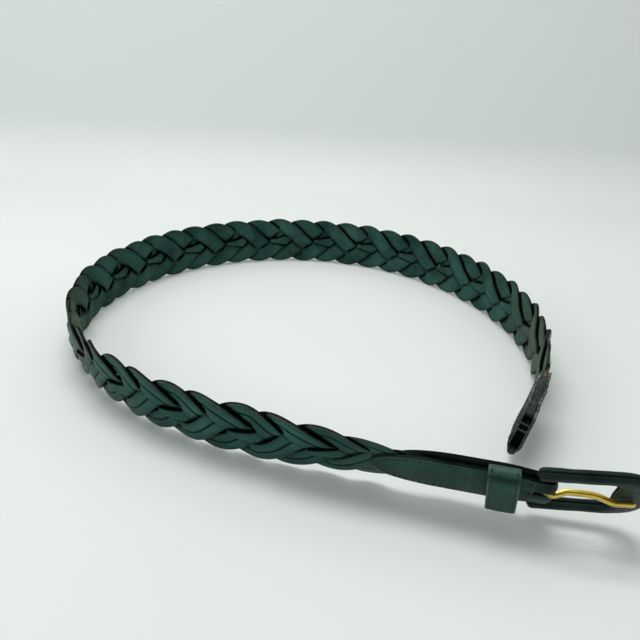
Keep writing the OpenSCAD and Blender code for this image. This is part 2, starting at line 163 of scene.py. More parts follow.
def on_tab(points, swing=0.0):
    """Points of the buckle end in metres, swung about the bar: x to the buckle, y inwards, z across."""
    p = turned(np.asarray(points, float), 0, 1, swing)
    p = turned(p, 0, 2, BUCKLE_RISE)
    p = turned(p, 1, 2, BUCKLE_LEAN)
    p = turned(p, 0, 1, TAB_HEADING - 180)
    return p * MM + strap(0, 0, 0)


def smooth(v):
    v = np.clip(v, 0, 1)
    return v * v * (3 - 2 * v)


def bell(v, middle, spread):
    return np.exp(-((v - middle) / spread) ** 2)


def unit(v):
    return v / np.linalg.norm(v)


def run_along(points):
    """Length of a line of points from its start to each of them."""
    return np.concatenate([[0], np.cumsum(np.linalg.norm(np.diff(points, axis=0), axis=1))])


def even_noise(rng, places, size, amount):
    """A wandering value at each place, from random values at even steps."""
    return np.interp(places, np.linspace(places[0], places[-1], size), rng.normal(0, amount, size))


def new_object(name, data):
    obj = bpy.data.objects.new(name, data)
    scene.collection.objects.link(obj)
    return obj


def make_object(name, verts, faces, materials, index=None, painted_shade=None, wear_and_highlight=None):
    """A smooth mesh with materials, their index by face, and painted shade, wear and painted highlights at
    its points.
    """
    mesh = bpy.data.meshes.new(name)
    points = [tuple(v) for v in np.asarray(verts).reshape(-1, 3)]
    mesh.from_pydata(points, [], [tuple(int(i) for i in f) for f in faces])
    for m in materials:
        mesh.materials.append(m)
    if index is not None:
        mesh.polygons.foreach_set("material_index", np.asarray(index, np.int32))
    mesh.polygons.foreach_set("use_smooth", np.ones(len(mesh.polygons), bool))
    # Point values: painted shade, and wear together with painted highlights
    for key, values in (("painted_shade", painted_shade), ("wear_and_highlight", wear_and_highlight)):
        if values is not None:
            a = mesh.attributes.new(key, "FLOAT", "POINT")
            a.data.foreach_set("value", np.asarray(values, np.float32).ravel())
    mesh.update()
    return new_object(name, mesh)


# Kinds of face of a sheet, in the order of its materials
KIND_TOP = 0
KIND_BOTTOM = 1
KIND_EDGE = 2


def loft(rings, closed=False):
    """Faces of a tube through rings of points, capped unless it is closed on itself."""
    count, size = rings.shape[:2]
    faces = []
    for i in range(count if closed else count - 1):
        j = (i + 1) % count
        for k in range(size):
            q = (k + 1) % size
            faces.append((i * size + k, i * size + q, j * size + q, j * size + k))
    if not closed:
        faces.append(tuple(range(size - 1, -1, -1)))
        faces.append(tuple((count - 1) * size + k for k in range(size)))
    return faces


def sheet_mesh(top, bottom, mask=None, values=()):
    """A sheet with thickness, cut by a mask of its cells: points, faces, kinds of face, point values."""
    ni, nj = top.shape[:2]
    if mask is None:
        mask = np.ones((ni - 1, nj - 1), bool)
    verts = np.concatenate([top.reshape(-1, 3), bottom.reshape(-1, 3)])
    off = ni * nj
    faces, kinds = [], []
    for i in range(ni - 1):
        for j in range(nj - 1):
            if not mask[i, j]:
                continue
            a = i * nj + j
            b, c, d = a + 1, a + nj + 1, a + nj
            faces.append((a, b, c, d))
            kinds.append(KIND_TOP)
            faces.append((d + off, c + off, b + off, a + off))
            kinds.append(KIND_BOTTOM)
            for p, q, oi, oj in ((a, b, i - 1, j), (b, c, i, j + 1), (c, d, i + 1, j), (d, a, i, j - 1)):
                inside = 0 <= oi < ni - 1 and 0 <= oj < nj - 1 and mask[oi, oj]
                if not inside:
                    faces.append((q, p, p + off, q + off))
                    kinds.append(KIND_EDGE)
    used = np.unique(np.array([v for f in faces for v in f]))
    renum = -np.ones(len(verts), int)
    renum[used] = np.arange(len(used))
    spread = [np.tile(np.broadcast_to(v, (ni, nj)).ravel(), 2)[used] for v in values]
    return verts[used], [tuple(renum[v] for v in f) for f in faces], kinds, spread


def bevel(obj, width):
    """Rounds the sharp edges of a mesh by a width in millimetres."""
    mod = obj.modifiers.new("edge", "BEVEL")
    mod.width = width * MM
    mod.segments = 2
    mod.limit_method = "ANGLE"
    mod.angle_limit = math.radians(40)


# Materials

# How dark painted shade makes leather and cut edges, as shares of their base tone
PAINTED_SHADE_TONE = 0.06
EDGE_PAINTED_SHADE_TONE = 0.1
DUST = (0.30, 0.32, 0.29)


def put(node, key, value):
    """Sets an input of a node, or links it where the value is an output of another node."""
    if isinstance(value, bpy.types.NodeSocket):
        node.id_data.links.new(value, node.inputs[key])
    elif isinstance(value, tuple):
        node.inputs[key].default_value = (*value, 1.0)
    else:
        node.inputs[key].default_value = value


def add(near, kind, inputs):
    """A new node in the tree of another node or of its output, with inputs by name or number."""
    node = near.id_data.nodes.new("ShaderNode" + kind)
    for key, value in inputs.items():
        put(node, key, value)
    return node


def new_material(name):
    """A material with its shader and the coordinates of the object."""
    m = bpy.data.materials.new(name)
    m.use_nodes = True
    tree = m.node_tree
    tree.nodes.clear()
    bsdf = add(tree, "BsdfPrincipled", {})
    add(tree, "OutputMaterial", {"Surface": bsdf.outputs["BSDF"]})
    return m, bsdf, add(tree, "TexCoord", {}).outputs["Object"]


def noise(coords, scale, detail=4.0, rough=0.55):
    inputs = {"Vector": coords, "Scale": scale, "Detail": detail, "Roughness": rough}
    return add(coords, "TexNoise", inputs).outputs["Fac"]


def voronoi(coords, scale):
    return add(coords, "TexVoronoi", {"Vector": coords, "Scale": scale}).outputs["Distance"]


def attribute(near, name):
    a = add(near, "Attribute", {})
    a.attribute_name = name
    return a.outputs["Fac"]


def ramp(value, low, high, a=0.0, b=1.0):
    inputs = {"Value": value, "From Min": low, "From Max": high, "To Min": a, "To Max": b}
    return add(value, "MapRange", inputs).outputs["Result"]


def mix(factor, a, b):
    n = add(factor, "Mix", {})
    n.data_type = "RGBA"
    for key, value in ((0, factor), (6, a), (7, b)):
        put(n, key, value)
    return n.outputs[2]


def maths(op, a, b):
    n = add(a, "Math", {0: a, 1: b})
    n.operation = op
    return n.outputs[0]


def bump(bsdf, height, strength, distance):
    b = add(bsdf, "Bump", {"Height": height, "Strength": strength, "Distance": distance})
    put(bsdf, "Normal", b.outputs["Normal"])


def leather(name, base, light, rough=(0.34, 0.52), grain=0.3, wear_and_highlight_colour=(0.135, 0.165, 0.138), gloss=0.06):
    """Dyed leather: mottled, pebbled, paler with wear and with painted highlights, darker with painted
    shade, with a few specks of dust.
    """
    m, bsdf, coords = new_material(name)
    broad = noise(coords, 45.0, 5.0)
    fine = noise(coords, 700.0, 3.0)
    pore = voronoi(coords, 1500.0)
    tone = maths("ADD", maths("MULTIPLY", broad, 0.7), maths("MULTIPLY", fine, 0.3))
    colour = mix(ramp(tone, 0.38, 0.62), base, light)
    # Paler with wear and with painted highlights, then darker with painted shade
    wear_and_highlight_mask = maths("MULTIPLY", attribute(coords, "wear_and_highlight"), ramp(fine, 0.40, 0.6, 0.35, 1.0))
    colour = mix(wear_and_highlight_mask, colour, wear_and_highlight_colour)
    colour = mix(attribute(coords, "painted_shade"), colour, tuple(c * PAINTED_SHADE_TONE for c in base))
    speck = maths("MULTIPLY", ramp(voronoi(coords, 320.0), 0.07, 0.11, 0.5, 0.0),
                  ramp(noise(coords, 60.0), 0.56, 0.62))
    put(bsdf, "Base Color", mix(speck, colour, DUST))
    put(bsdf, "Roughness", ramp(broad, 0.3, 0.7, rough[0], rough[1]))
    put(bsdf, "Specular IOR Level", gloss)
    bump(bsdf, maths("ADD", maths("MULTIPLY", pore, 0.6), fine), grain, 0.00025)
    return m


def raw_edge(name, base, light, wear_and_highlight_colour=(0.20, 0.195, 0.16)):
    """Cut leather edge: fibrous, matt and greyish, paler with wear and with painted highlights, darker with
    painted shade.
    """
    m, bsdf, coords = new_material(name)
    fibre = noise(coords, 1100.0, 6.0, 0.7)
    broad = noise(coords, 90.0, 4.0)
    tone = maths("ADD", maths("MULTIPLY", fibre, 0.6), maths("MULTIPLY", broad, 0.4))
    colour = mix(ramp(tone, 0.4, 0.6), base, light)
    # Paler with wear and with painted highlights, then darker with painted shade
    wear_and_highlight_mask = maths("MULTIPLY", attribute(coords, "wear_and_highlight"), ramp(tone, 0.40, 0.56))
    colour = mix(wear_and_highlight_mask, colour, wear_and_highlight_colour)
    colour = mix(attribute(coords, "painted_shade"), colour, tuple(c * EDGE_PAINTED_SHADE_TONE for c in base))
    put(bsdf, "Base Color", colour)
    put(bsdf, "Roughness", 0.9)
    put(bsdf, "Specular IOR Level", 0.05)
    bump(bsdf, fibre, 0.8, 0.0005)
    return m


def thread(name, base):
    """Twisted thread."""
    m, bsdf, coords = new_material(name)
    twist = add(coords, "TexWave", {"Vector": coords, "Scale": 900.0, "Distortion": 1.5})
    twist.bands_direction = "DIAGONAL"
    put(bsdf, "Base Color", mix(twist.outputs["Fac"], tuple(c * 0.6 for c in base), base))
    put(bsdf, "Roughness", 0.6)
    bump(bsdf, twist.outputs["Fac"], 0.5, 0.0002)
    return m


def metal(name, base, light, rough):
    """Metal with a slightly uneven tone and fine scratches."""
    m, bsdf, coords = new_material(name)
    broad = noise(coords, 120.0, 4.0)
    scratch = noise(coords, 1800.0, 2.0)
    put(bsdf, "Base Color", mix(ramp(broad, 0.35, 0.65), base, light))
    put(bsdf, "Metallic", 1.0)
    put(bsdf, "Roughness", ramp(scratch, 0.3, 0.7, rough - 0.04, rough + 0.05))
    bump(bsdf, scratch, 0.012, 0.0001)
    return m


GRAIN = leather("strand grain", (0.014, 0.056, 0.047), (0.034, 0.110, 0.092))
FLESH = leather("strand flesh", (0.012, 0.042, 0.036), (0.040, 0.108, 0.090), rough=(0.5, 0.75), grain=0.45,
                wear_and_highlight_colour=(0.110, 0.132, 0.078))
# Raw edges of the strands, painted near black partly as shade in the gaps between strands
RAW_EDGE_IN_SHADE = raw_edge("strand raw edge in painted shade", (0.003, 0.006, 0.005), (0.008, 0.012, 0.010),
                wear_and_highlight_colour=(0.050, 0.050, 0.038))
TAB = leather("tab leather", (0.007, 0.030, 0.025), (0.022, 0.070, 0.058))
KEEPER = leather("keeper leather", (0.010, 0.040, 0.034), (0.026, 0.082, 0.068), gloss=0.12)
TAB_EDGE = raw_edge("tab raw edge", (0.002, 0.004, 0.0035), (0.010, 0.013, 0.011),
                    wear_and_highlight_colour=(0.13, 0.135, 0.115))
LINING = leather("lining leather", (0.009, 0.026, 0.022), (0.020, 0.048, 0.041),
                 rough=(0.6, 0.85), grain=0.6)
COVER = leather("buckle cover leather", (0.004, 0.013, 0.011), (0.013, 0.033, 0.028),
                rough=(0.32, 0.50), gloss=0.10)
TIP = raw_edge("tip suede", (0.016, 0.024, 0.020), (0.080, 0.095, 0.082))
TIP_FACE = leather("tip leather", (0.008, 0.014, 0.012), (0.022, 0.034, 0.029),
                   rough=(0.55, 0.8), grain=0.6)
# Near black faces inside the tip and the web between its layers: painted shade in the gap
GAP_SHADE = raw_edge("painted shade inside the tip", (0.002, 0.003, 0.003), (0.008, 0.011, 0.010))
TIP_EDGE = raw_edge("tip raw edge", (0.020, 0.024, 0.021), (0.130, 0.138, 0.122),
                    wear_and_highlight_colour=(0.26, 0.265, 0.24))
TAN = raw_edge("undyed cut end", (0.070, 0.052, 0.036), (0.190, 0.150, 0.112))
THREAD = thread("dark green thread", (0.007, 0.014, 0.012))
ROW_THREAD = thread("faded thread", (0.075, 0.098, 0.088))
BRASS = metal("brass", (0.74, 0.52, 0.07), (0.92, 0.70, 0.16), 0.2)
STEEL = metal("steel", (0.45, 0.45, 0.44), (0.62, 0.61, 0.59), 0.4)


# Braid

# Steps of a strand: the phase in pitches, and how many thicknesses it goes up or down there
EVEN = [(0, 2), (0.75, -1), (1.25, -1), (2, 2), (2.75, -2)]
ODD = [(0, 2), (0.75, -1), (1.25, -1), (2, 2), (3.25, -2)]
CENTRE = [(0.5, 2), (1.5, -2), (2.5, 2), (3.5, -2)]
STEP_HALF = 0.2
REPEAT = 4
CROSSING = 4
SHOWN_W = 12.4
SHOWN_T = 2.4
CENTRE_MAX = 8.6
CENTRE_MIN = 3.4
SWEEP = (BRAID_W - SHOWN_W) / 2

# Steps along a strand, lanes across it, cells of the plan and rounds for settling the depths
PHASES = 160
LANES = 11
PLAN_X = 200
PLAN_W = 80
ROUNDS = 420
LATE_ROUND = 330
# How far the painted shade beside higher strands reaches, in cells, and a depth past every strand
CREVICE_REACH = 3
FAR = 9.0


def centre_half(x):
    """Half width of the centre strand, narrow and wide by turns."""
    return (CENTRE_MAX + CENTRE_MIN) / 4 - (CENTRE_MAX - CENTRE_MIN) / 4 * np.cos(np.pi * (x - 0.5))


def braid_plan(phase):
    """Middle line of a strand at a phase: place across, slope, and the length of its tangent."""
    slope = SWEEP * np.pi / 2 * np.sin(np.pi / 2 * phase) / PITCH
    return SWEEP * np.cos(np.pi / 2 * phase), slope, np.sqrt(1 + slope * slope)


def strand_plan(index, phase, v):
    """Place along, in pitches, and across, at a phase and a share v of a strand's half width."""
    if index == CROSSING:
        return phase, v * centre_half(phase)
    w, slope, run = braid_plan(phase)
    return phase + index + v * SHOWN_W / 2 * slope / run / PITCH, w + v * SHOWN_W / 2 / run


def plan_cell(x, w, nx, nw):
    """Cell of the plan that a place lies in."""
    ix = np.floor((x % REPEAT) / REPEAT * nx).astype(int) % nx
    return ix, np.clip(np.floor((w / BRAID_W + 0.5) * nw).astype(int), 0, nw - 1)


def level(phase, steps):
    """Depth of a strand in thicknesses, from its steps."""
    total = -np.ones_like(phase)
    for at, jump in steps:
        for turn in (0, REPEAT):
            total += jump * smooth((phase - at - turn + STEP_HALF) / (2 * STEP_HALF))
    return total


def settle_braid():
    """Depths of the five strands over one repeat: pushed apart where they cross, and kept smooth."""
    k, nv, nx, nw = PHASES, LANES, PLAN_X, PLAN_W
    phase = np.arange(k) * REPEAT / k
    tables = (EVEN, ODD, EVEN, ODD, CENTRE)
    fields = [np.repeat(SHOWN_T * level(phase, steps)[:, None], nv, 1) for steps in tables]
    strands = range(len(fields))
    fine_p, fine_v = np.meshgrid(np.arange(k * 5) * REPEAT / (k * 5), np.linspace(-1, 1, 49), indexing="ij")
    row = np.round(fine_p / REPEAT * k).astype(int) % k
    lane = np.round((fine_v + 1) / 2 * (nv - 1)).astype(int)
    cover = []
    for j in strands:
        ix, iw = plan_cell(*strand_plan(j, fine_p, fine_v), nx, nw)
        cells = -np.ones((nx, nw), int)
        cells[ix, iw] = row * nv + lane
        cover.append(cells)
    xs = ((np.arange(nx) + 0.5) / nx * REPEAT)[:, None]
    early = xs < 2
    middle = (xs >= 1) & (xs < 3)
    # Which strand lies over which, and where
    order = [(a, (a + 1) % CROSSING, True) for a in range(CROSSING)]
    order += [(0, 2, early), (2, 0, ~early), (3, 1, middle), (1, 3, ~middle)]
    order += [(4, 0, True), (4, 2, True), (1, 4, True), (3, 4, True)]
    pairs = []
    for a, b, where in order:
        both = (cover[a] >= 0) & (cover[b] >= 0) & where
        pairs.append((a, b, cover[a][both], cover[b][both]))
    for step in range(ROUNDS):
        late = step > LATE_ROUND
        move = [np.zeros(k * nv) for _ in strands]
        hits = [np.zeros(k * nv) for _ in strands]
        for a, b, ia, ib in pairs:
            short = np.maximum(0, SHOWN_T - (fields[a].ravel()[ia] - fields[b].ravel()[ib]))
            touch = (short > 0).astype(float)
            move[a] += np.bincount(ia, short, k * nv)
            hits[a] += np.bincount(ia, touch, k * nv)
            move[b] -= np.bincount(ib, short, k * nv)
            hits[b] += np.bincount(ib, touch, k * nv)
        for j in strands:
            h = fields[j] + 0.5 * (move[j] / np.maximum(hits[j], 1)).reshape(k, nv)
            for _ in range(1 if late else 3):
                h = h + 0.25 * (np.roll(h, 1, 0) + np.roll(h, -1, 0) - 2 * h)
                side = np.concatenate([h[:, :1], h, h[:, -1:]], 1)
                h = h + 0.2 * (side[:, 2:] + side[:, :-2] - 2 * h)
            fields[j] = h * 0.999
    return fields, crevice_shade(fields, cover)


def crevice_shade(fields, cover):
    """Painted shade at each place of each strand: how deep it lies beside a strand above it, and beside one
    below it.
    """
    k, nv = fields[0].shape
    nx, nw = cover[0].shape
    high, low = np.full((nx, nw), -FAR), np.full((nx, nw), FAR)
    for field, cells in zip(fields, cover):
        depth = field.ravel()[np.maximum(cells, 0)]
        high = np.where(cells >= 0, np.maximum(high, depth), high)
        low = np.where(cells >= 0, np.minimum(low, depth), low)
    top, bottom = high.copy(), low.copy()
    near = range(-CREVICE_REACH, CREVICE_REACH + 1)
    for i in near:
        for j in near:
            if i * i + j * j <= CREVICE_REACH ** 2 + 1:
                top = np.maximum(top, np.roll(high, (i, j), (0, 1)))
                bottom = np.minimum(bottom, np.roll(low, (i, j), (0, 1)))

    def beside(rise):
        return smooth((rise / SHOWN_T - 0.35) / 0.5)

    phase, v = np.meshgrid(np.arange(k) * REPEAT / k, np.linspace(-1, 1, nv), indexing="ij")
    out = []
    for j, field in enumerate(fields):
        ix, iw = plan_cell(*strand_plan(j, phase, v), nx, nw)
        out.append((beside(top[ix, iw] - field), beside(field - bottom[ix, iw])))
    return out


def sample(field, phase, v):
    """Value of a strand's field at each phase and each place across it."""
    k, nv = field.shape
    f = (phase % REPEAT) / REPEAT * k
    i = np.floor(f).astype(int)
    t = (f - i)[:, None]
    rows = field[i % k] * (1 - t) + field[(i + 1) % k] * t
    g = (v + 1) / 2 * (nv - 1)
    c = np.clip(np.floor(g).astype(int), 0, nv - 2)
    return rows[:, c] * (1 - (g - c)) + rows[:, c + 1] * (g - c)


FIELDS, CREVICE_SHADE = settle_braid()
DEEP = max(float(np.abs(f).max()) for f in FIELDS) + SHOWN_T / 2
BRAID_FROM = WINDOW_ROW + 9
BRAID_TO = STRAP_L - 11
STRAND_ROWS = 1060
WANDER = 0.22
WANDER_STEPS = 90
TUCK_IN = 4.0
TUCK_CLEAR = 0.1

# Wear: along both edges, at the left bend and towards the free end
EDGE_WEAR_FROM = 13.5
EDGE_WEAR_RISE = 4.0
LEFT_AT = 290.0
LEFT_SPREAD = 44.0
FREE_WEAR_L = 190.0
FREE_WEAR_RISE = 90.0
# Painted shade towards both rims of a strand, so that it looks rounded
RIM_SHADE = 0.4

# Section of a strand, with a groove along the middle of its upper face
ACROSS = np.array([-1, -0.985, -0.94, -0.86, -0.7, -0.5, -0.3, -0.13, -0.05, 0,
                   0.05, 0.13, 0.3, 0.5, 0.7, 0.86, 0.94, 0.985, 1])
UPPER = SHOWN_T / 2 * np.array([0.1, 0.5, 0.76, 0.92, 1.02, 1.06, 1.04, 0.94, 0.72, 0.45,
                                0.72, 0.94, 1.04, 1.06, 1.02, 0.92, 0.76, 0.5, 0.1])
LOWER = -SHOWN_T / 2 * np.array([0.3, 0.65, 0.85, 0.95, 1, 1.02, 1.02, 1, 1, 1,
                                 1, 1, 1.02, 1.02, 1, 0.95, 0.85, 0.65, 0.3])


def ends(s):
    """How far the braid is narrowed and flattened towards the tab and the tip."""
    near = s < STRAP_L / 2
    out = np.where(near, s - TAB_L, TIP_FROM - s)
    narrow = np.where(near, (TAB_W - TUCK_IN) / BRAID_W, (TIP_W - TUCK_IN) / BRAID_W)
    flat = (FOLD_R - TUCK_CLEAR) / DEEP
    wide = smooth((out + np.where(near, TAB_END_L, 0)) / TAPER_L)
    return narrow + (1 - narrow) * wide, flat + (1 - flat) * smooth(out / TAPER_L)


def strand_object(name, index):
    """One strand along the strap, with painted shade beside the strands over it, towards its rims and, on
    the plaited strands, along the middle of its upper face, and paler where it shows wear.
    """
    s = np.linspace(BRAID_FROM, BRAID_TO, STRAND_ROWS)
    if index < CROSSING:
        phase = BRAID_START - s / PITCH - index
        w, slope, run = braid_plan(phase)
        half = np.full_like(s, SHOWN_W / 2)
    else:
        phase = BRAID_START - s / PITCH
        w, slope, run = np.zeros_like(s), np.zeros_like(s), np.ones_like(s)
        half = centre_half(phase)
    k_w, k_n = (a[:, None] for a in ends(s))
    depth = sample(FIELDS[index], phase, ACROSS)
    d = half[:, None] * ACROSS
    along = s[:, None] - d * (slope / run)[:, None] * k_w
    across = (w[:, None] + d / run[:, None]) * k_w
    rng = np.random.default_rng(7 + index)
    across = across + even_noise(rng, s, WANDER_STEPS, WANDER)[:, None] * k_w
    top = strap(along, across, (depth + UPPER) * k_n)
    low = strap(along, across, (depth + LOWER) * k_n)
    rings = np.concatenate([top, low[:, ::-1]], 1)
    size = rings.shape[1]
    n = len(ACROSS)
    kind = np.full(size, KIND_TOP)
    kind[n + 1:size - 2] = KIND_BOTTOM
    kind[[0, n - 2, n - 1, n, size - 2, size - 1]] = KIND_EDGE
    kinds = np.concatenate([np.tile(kind, len(s) - 1), [KIND_EDGE, KIND_EDGE]])
    # Painted shade beside the strands above and below, along the groove of the upper face, and towards both
    # rims
    above, below = CREVICE_SHADE[index]
    groove_shade = np.interp(np.abs(ACROSS), [0.05, 0.13], [1, 0]) * (index < CROSSING)
    rim_shade = RIM_SHADE * smooth((np.abs(ACROSS) - 0.5) / 0.5)
    painted_shade = np.concatenate([np.maximum(sample(above, phase, ACROSS), np.maximum(groove_shade, rim_shade)),
                             np.maximum(sample(below, phase, ACROSS), rim_shade)[:, ::-1]], 1)
    rim = np.interp(np.abs(ACROSS), [0.86, 0.985], [0, 1])
    outer = smooth((np.abs(across) - EDGE_WEAR_FROM) / EDGE_WEAR_RISE) * rim
    bend = bell(s, LEFT_AT, LEFT_SPREAD) + smooth((s - STRAP_L + FREE_WEAR_L) / FREE_WEAR_RISE)
    outer = np.maximum(outer, bend[:, None] * (0.8 + 0.2 * rim))
    wear_and_highlight = np.concatenate([outer, outer[:, ::-1]], 1)
    obj = make_object(name, rings, loft(rings), [GRAIN, FLESH, RAW_EDGE_IN_SHADE], kinds, painted_shade, wear_and_highlight)
    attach(obj, "strap")
    return obj


for i in range(CROSSING):
    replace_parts(strand_object("braided_strand_%d" % (i + 1), i), "strand_%d" % (i + 1))
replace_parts(strand_object("middle_strand", 4), "centre_strand")


# Tab

POINT_HALF = 0.15
TAB_PUFF = 0.45
PUFF_FROM = 8.0
PUFF_RISE = 22.0
PUFF_HALF = 8.0
LOBE_H = 1.3
LOBE_FROM = 2.0
LOBE_FADE = 8.0

# Wear along the lower edge towards the point; beside the slot, a painted highlight on the lower roll and
# painted shade on the upper one
POINT_WEAR_FROM = 44.0
POINT_WEAR_RISE = 14.0
NECK_FROM = 1.0
NECK_FADE = 6.0
NECK_HIGHLIGHT = 0.5
NECK_HIGHLIGHT_AT = -6.5
NECK_HIGHLIGHT_SPREAD = 3.0
NECK_SHADE = 0.75
NECK_SHADE_FROM = 1.5
NECK_SHADE_RISE = 4.0
TAB_BEVEL = 0.3


def tab_half(d):
    """Half width of the tab without its point, at a distance from the bar."""
    return (NECK_W + (TAB_W - NECK_W) * smooth(d / NECK_L)) / 2


def point_share(q):
    """Share of the full width at a share q of the way along the point."""
    return np.maximum(0, 1 - q * q) ** 0.4


def layer_half(d, length):
    """Half width of a layer of the tab with its point."""
    return tab_half(d) * point_share(np.clip((d - (length - TAB_END_L)) / TAB_END_L, 0, 1))


def tab_rows():
    """The tab from point to point: place along, the way outwards, half width, and distance from the bar."""
    def layer(length, count, side):
        point = length - TAB_END_L * (1 - np.cos(np.linspace(0, np.pi / 2, 22)))
        flat = np.linspace(SLOT_BACK, length - TAB_END_L, count)
        places = np.unique(np.concatenate([point, flat]))
        return [(-d, 0.0, side, max(POINT_HALF, layer_half(d, length)), d) for d in places]

    fold = [(0, math.cos(a), math.sin(a), NECK_W / 2, 0) for a in np.radians(np.linspace(-90, 90, 17))]
    return layer(TAB_L, 24, -1.0)[::-1] + fold + layer(TAB_BACK_L, 18, 1.0)


def neck_lobes(z, d):
    """Two soft rolls beside the prong's slot, where the leather is drawn round the bar."""
    f = np.clip((np.abs(z) - SLOT_W / 2) / (NECK_W / 2 - SLOT_W / 2), 0, 1)
    return LOBE_H * np.sin(np.pi * np.sqrt(f)) * (1 - smooth((d - LOBE_FROM) / LOBE_FADE))


def layer_puff(d, half, share):
    """How far a layer of the tab swells, at a distance from the bar and a share of its half width."""
    grown = smooth((d - PUFF_FROM) / PUFF_RISE) * min(1.0, half / PUFF_HALF)
    return TAB_PUFF * (1 - share ** 2) * grown + neck_lobes(half * share, d)


def build_tab():
    rows = tab_rows()
    slot = SLOT_W / NECK_W
    cols = np.unique(np.concatenate([np.linspace(-1, 1, 25), [-slot, slot]]))
    mid = FOLD_R + LEATHER_T / 2
    top, low = [], []
    for x, nx, ny, half, d in rows:
        puff = layer_puff(d, half, cols)
        for out, lift in ((top, LEATHER_T / 2), (low, -LEATHER_T / 2)):
            r = mid + lift + puff
            out.append(np.stack([x + nx * r, ny * r, half * cols], -1))
    mask = np.ones((len(rows) - 1, len(cols) - 1), bool)
    in_slot = np.abs(cols[:-1] + cols[1:]) / 2 < slot
    for i in range(len(rows) - 1):
        if max(rows[i][4], rows[i + 1][4]) <= SLOT_BACK + 0.01:
            mask[i, in_slot] = False
    on_front = np.array([row[4] * (row[2] < 0) for row in rows])[:, None]
    rim = np.interp(np.abs(cols), [0.9, 1.0], [0, 1])
    wear_and_highlight = smooth((on_front - POINT_WEAR_FROM) / POINT_WEAR_RISE) * rim * np.where(cols < 0, 1.0, 0.1)
    across = np.array([row[3] for row in rows])[:, None] * cols
    near = np.array([1 - smooth((row[4] - NECK_FROM) / NECK_FADE) for row in rows])[:, None]
    # A painted highlight on the lower roll beside the slot, and painted shade on the upper roll below the
    # buckle's upper limb
    wear_and_highlight = np.maximum(wear_and_highlight, NECK_HIGHLIGHT * near * bell(across, NECK_HIGHLIGHT_AT, NECK_HIGHLIGHT_SPREAD))
    shade = NECK_SHADE * near * smooth((across - NECK_SHADE_FROM) / NECK_SHADE_RISE)
    sheet = sheet_mesh(on_tab(np.array(top)), on_tab(np.array(low)), mask, [wear_and_highlight, shade])
    verts, faces, kinds, (wear_and_highlight, shade) = sheet
    obj = make_object("folded_tab", verts, faces, [TAB, LINING, TAB_EDGE], kinds, shade, wear_and_highlight)
    bevel(obj, TAB_BEVEL)
    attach(obj, "strap")
    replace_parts(obj, "buckle_tab")


build_tab()


# Stitches

STITCH_L = 2.3
STITCH_W = 0.62
STITCH_H = 0.42
AHEAD = 0.4


def stitch_rings():
    """A short thread that dips into the leather at both ends, along x, with z outwards."""
    a = np.linspace(0, 2 * np.pi, 9)[:-1]
    rings = []
    for f in np.linspace(0, 1, 9):
        hump = math.sin(math.pi * f)
        thick = 0.35 + 0.65 * hump ** 0.5
        y = np.cos(a) * STITCH_W / 2 * thick
        z = STITCH_H * (hump ** 0.6 - 0.6 + np.sin(a) * 0.62 * thick)
        rings.append(np.stack([(f - 0.5) * STITCH_L + 0 * a, y, z], -1))
    return np.array(rings)


def stitches(name, node, body, places, material=THREAD):
    """places: middle, direction along and direction outwards, in metres."""
    base = stitch_rings()
    verts, faces = [], []
    one = loft(base)
    for c, t, o in places:
        side = np.cross(o, t)
        p = c + (base[..., :1] * t + base[..., 1:2] * side + base[..., 2:] * o) * MM
        k = len(verts) * base.shape[0] * base.shape[1]
        verts.append(p.reshape(-1, 3))
        faces += [tuple(v + k for v in f) for f in one]
    obj = make_object(name, np.concatenate(verts), faces, [material])
    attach(obj, body)
    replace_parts(obj, node)


def tab_place(d, z, angle, side):
    """Place of a stitch on the front (side -1) or the back (side 1) of the tab."""
    half = layer_half(d, TAB_L)
    x = -d
    y = side * (FOLD_OUT + layer_puff(d, half, abs(z) / half))
    p = on_tab([x, y, z])
    t = unit(on_tab([x + math.cos(angle), y, z + math.sin(angle)]) - p)
    o = unit(on_tab([x, y + side, z]) - p)
    return p, t, o


def edge_places(length, side):
    """Places of the stitches along both edges of one layer of the tab."""
    d = np.linspace(WINDOW_ROW + 3, length - STITCH_IN, 400)
    q = np.clip((d - (length - TAB_END_L)) / (TAB_END_L - STITCH_IN), 0, 1)
    z = (tab_half(d) - STITCH_IN) * point_share(q)
    run = run_along(np.stack([d, z], -1))
    out = []
    for r in np.arange(STITCH_PITCH, run[-1] - 1, STITCH_PITCH):
        d1, d2 = np.interp((r, r + AHEAD), run, d)
        z1, z2 = np.interp((r, r + AHEAD), run, z)
        for s in (-1, 1):
            out.append(tab_place(d1, s * z1, math.atan2(s * (z2 - z1), d1 - d2), side))
    return out


def row_places(at):
    """Places of the stitches of one cross row, on both sides of the tab."""
    reach = tab_half(at) - STITCH_IN
    row = np.arange(-reach, reach + 0.1, STITCH_PITCH)
    row = row - row.mean()
    return [tab_place(at, z, math.pi / 2, side) for z in row for side in (-1, 1)]


stitches("tab_edge_thread", "tab_edge_stitching", "strap",
         edge_places(TAB_L, -1) + edge_places(TAB_BACK_L, 1))
stitches("fold_thread", "fold_cross_stitching", "strap", row_places(FOLD_ROW), ROW_THREAD)
stitches("window_thread", "window_cross_stitching", "strap", row_places(WINDOW_ROW), ROW_THREAD)


# Keeper

KEEPER_CLEAR = 0.6
KEEPER_OUT_TOP = 2.4
KEEPER_OUT_LOW = 4.6
KEEPER_BENDS = [0.9, 0.9, 2.4, 2.4]
KEEPER_STEPS = 121
KEEPER_BACK_HALF = 0.62
KEEPER_SLANT = 0.05
KEEPER_STITCH_IN = 1.5
KEEPER_STITCH_LOW = -14.5
KEEPER_BEVEL = 0.2

# The face swells across and bows along. A roll lies along the top edge, with a dip in front of it
FACE_SWELL = 0.35
FACE_BOW = 0.7
BOW_HALF = 16.0
ROLL_H = 0.7
ROLL_AT = -2.0
ROLL_SPREAD = 1.4
DIP_H = 0.9
DIP_AT = -5.2
DIP_SPREAD = 1.1
